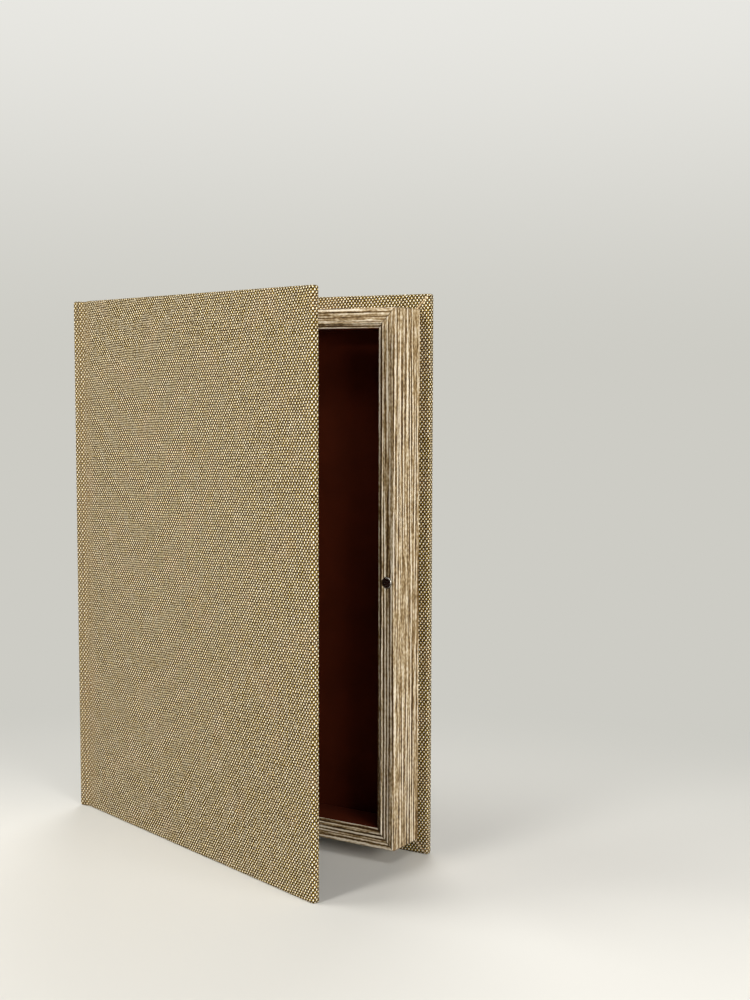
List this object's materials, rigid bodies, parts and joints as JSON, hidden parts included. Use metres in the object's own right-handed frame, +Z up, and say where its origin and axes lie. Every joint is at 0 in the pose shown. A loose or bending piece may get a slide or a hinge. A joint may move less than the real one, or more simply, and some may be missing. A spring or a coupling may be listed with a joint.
{
  "type": "book-shaped gift box",
  "caption": "Book-shaped keepsake box: cloth-covered case whose front cover swings on a cloth joint over a shallow lined tray of mitred moulding, shut by a magnet.",
  "frame": {"origin": "the middle of the back cover's foot, where the box stands", "axes": "+Z up along the spine, +X from the spine to the fore-edge, -Y towards the front cover, which stands ajar at rest"},
  "size_m": [0.2156, 0.0962, 0.29],
  "materials": {
    "book_cloth": "coarse two-tone plain weave, matt",
    "greyboard": "raw pressed paper board",
    "infill_card": "uncoated card",
    "wrapped_moulding": "satin driftwood-grain foil",
    "tray_floor_board": "raw hardboard",
    "suede_lining": "fine rust-brown nap",
    "nickel_magnet": "bright nickel plate",
    "wedge_steel": "plain steel strip"
  },
  "bodies": {
    "case": {"back_board": "greyboard", "spine_board": "greyboard", "back_cloth": "book_cloth", "spine_cloth": "book_cloth", "hinge_cloth": "book_cloth", "hinge_lining": "book_cloth", "hinge_lining_spine_flange": "book_cloth", "back_infill": "infill_card", "bottom_rail": "wrapped_moulding", "top_rail": "wrapped_moulding", "spine_stile": "wrapped_moulding", "fore_stile": "wrapped_moulding", "magnet": "nickel_magnet", "corner_wedges": "wedge_steel", "tray_floor": "tray_floor_board", "lining_floor": "suede_lining", "lining_bottom": "suede_lining", "lining_top": "suede_lining", "lining_spine_side": "suede_lining", "lining_fore_side": "suede_lining"},
    "front_cover": {"front_board": "greyboard", "front_cloth": "book_cloth", "front_infill": "infill_card", "cover_lining": "suede_lining", "hinge_lining_cover_flange": "book_cloth", "strike_disc": "wedge_steel"}
  },
  "joints": [
    {"name": "cover_hinge", "type": "hinge", "parent": "case", "child": "front_cover", "pos_m": [-0.1001, -0.0317, 0.145], "axis": [0, 0, -1], "range_deg": [-17.45, 157.55], "deforming": ["hinge_cloth", "hinge_lining"]}
  ]
}
